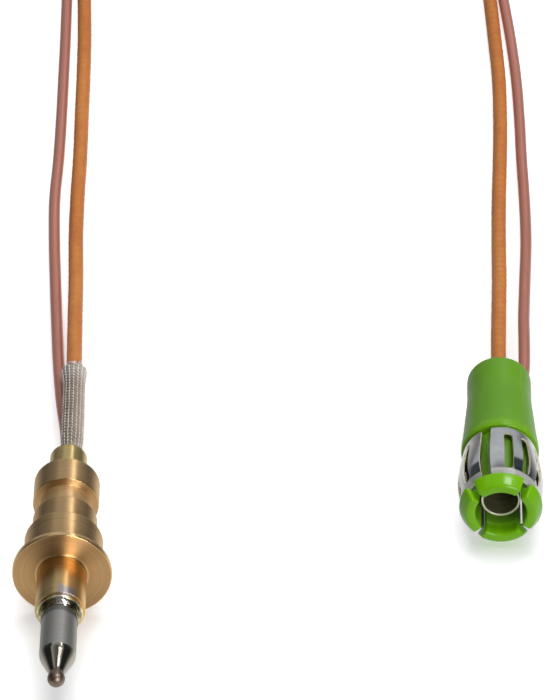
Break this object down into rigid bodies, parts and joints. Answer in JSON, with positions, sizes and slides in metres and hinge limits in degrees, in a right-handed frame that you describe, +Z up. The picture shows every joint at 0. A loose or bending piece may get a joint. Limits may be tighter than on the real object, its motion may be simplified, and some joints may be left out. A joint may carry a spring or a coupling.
{
  "type": "thermocouple",
  "caption": "Gas hob thermocouple: brass flanged probe head with a clip groove and a green snap-in plug with sprung claws, joined by an amber-wrapped lead and a copper lead.",
  "frame": {"origin": "centre of the bounding box of the probe head and the plug (leads, coil and tie left out), on the surface that they lie on", "axes": "+Z up from the surface, -Y the way the probe tip and the plug's claws point, +X from the probe head towards the plug"},
  "size_m": [0.0605, 0.2013, 0.011],
  "materials": {
    "bush_brass": "satin",
    "sleeve_brass": "satin",
    "braze": "gloss",
    "sheath_alloy": "satin",
    "bead_alloy": "gloss",
    "core_alloy": "satin",
    "ceramic_insulator": "matte",
    "crimp_metal": "satin",
    "tape_insulation": "matte",
    "ferrule_brass": "satin",
    "seal_rubber": "matte",
    "copper": "satin",
    "glass_braid": "matte",
    "green_plastic": "satin",
    "green_claw": "satin",
    "nickel_spring": "satin",
    "contact_silver": "satin",
    "copper_enamel": "gloss",
    "amber_tape": "satin",
    "coil_mixed": "satin",
    "tie_plastic": "satin"
  },
  "bodies": {
    "thermocouple": {"mounting_bush": "bush_brass", "sensor_sleeve": "sleeve_brass", "braze_ring": "braze", "sheath_tube": "sheath_alloy", "hot_junction_bead": "bead_alloy", "core_wire": "core_alloy", "insulator_tube": "ceramic_insulator", "splice_crimp": "crimp_metal", "splice_insulation": "tape_insulation", "rear_ferrule": "ferrule_brass", "lead_seal": "seal_rubber", "orange_lead_core_head": "copper", "fibreglass_sleeve": "glass_braid", "plug_body": "green_plastic", "spring_cage": "nickel_spring", "contact_tube": "contact_silver", "contact_crimp": "crimp_metal", "orange_lead_core_plug": "copper", "ground_wire_end": "copper_enamel", "orange_lead_head_side": "amber_tape", "copper_lead_head_side": "copper_enamel", "orange_lead_plug_side": "amber_tape", "copper_lead_plug_side": "copper_enamel", "lead_coil": "coil_mixed", "coil_tie": "tie_plastic"},
    "claw_right": {"claw_right": "green_claw"},
    "claw_top": {"claw_top": "green_claw"},
    "claw_left": {"claw_left": "green_claw"},
    "claw_bottom": {"claw_bottom": "green_claw"}
  },
  "joints": [
    {"name": "claw_right_flex", "type": "hinge", "parent": "thermocouple", "child": "claw_right", "pos_m": [0.02796, 0.01118, 0.00512], "axis": [0.0871, -0.0023, -0.9962], "range_deg": [0, 2.8], "stiffness_Nm_per_rad": 0.3},
    {"name": "claw_top_flex", "type": "hinge", "parent": "thermocouple", "child": "claw_top", "pos_m": [0.02455, 0.01127, 0.00799], "axis": [0.9959, -0.0261, 0.0872], "range_deg": [0, 2.8], "stiffness_Nm_per_rad": 0.3},
    {"name": "claw_left_flex", "type": "hinge", "parent": "thermocouple", "child": "claw_left", "pos_m": [0.02168, 0.01134, 0.00458], "axis": [-0.0871, 0.0023, 0.9962], "range_deg": [0, 2.8], "stiffness_Nm_per_rad": 0.3},
    {"name": "claw_bottom_flex", "type": "hinge", "parent": "thermocouple", "child": "claw_bottom", "pos_m": [0.02509, 0.01125, 0.00171], "axis": [-0.9959, 0.0261, -0.0872], "range_deg": [0, 2.8], "stiffness_Nm_per_rad": 0.3}
  ]
}
